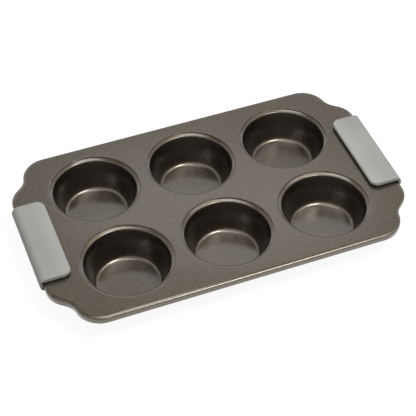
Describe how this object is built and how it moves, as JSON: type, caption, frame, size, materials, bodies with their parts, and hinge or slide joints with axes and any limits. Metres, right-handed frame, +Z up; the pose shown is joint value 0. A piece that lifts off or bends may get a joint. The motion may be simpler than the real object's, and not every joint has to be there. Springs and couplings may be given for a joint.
{
  "type": "muffin pan",
  "caption": "Rectangular coated steel muffin pan with round drawn cups, scalloped ends, a curled rim and slip-on silicone grips.",
  "frame": {"origin": "centre of the footprint, on the surface that the cup floors stand on", "axes": "+X along the pan from grip to grip, +Y towards the back long side, +Z up out of the cups"},
  "size_m": [0.3132, 0.1856, 0.033],
  "materials": {
    "coated_steel": "fine-grained semi-gloss dark taupe non-stick coating",
    "steel_wire": "plain drawn wire",
    "silicone": "matt, finely textured light grey silicone"
  },
  "bodies": {
    "pan": {"pan_body": "coated_steel", "rim_wire": "steel_wire"},
    "left_grip": {"grip_left": "silicone"},
    "right_grip": {"grip_right": "silicone"}
  },
  "joints": [
    {"name": "left_grip_slide", "type": "slide", "parent": "pan", "child": "left_grip", "axis": [-1, 0, 0], "range_m": [0, 0.03]},
    {"name": "right_grip_slide", "type": "slide", "parent": "pan", "child": "right_grip", "axis": [1, 0, 0], "range_m": [0, 0.03]}
  ]
}
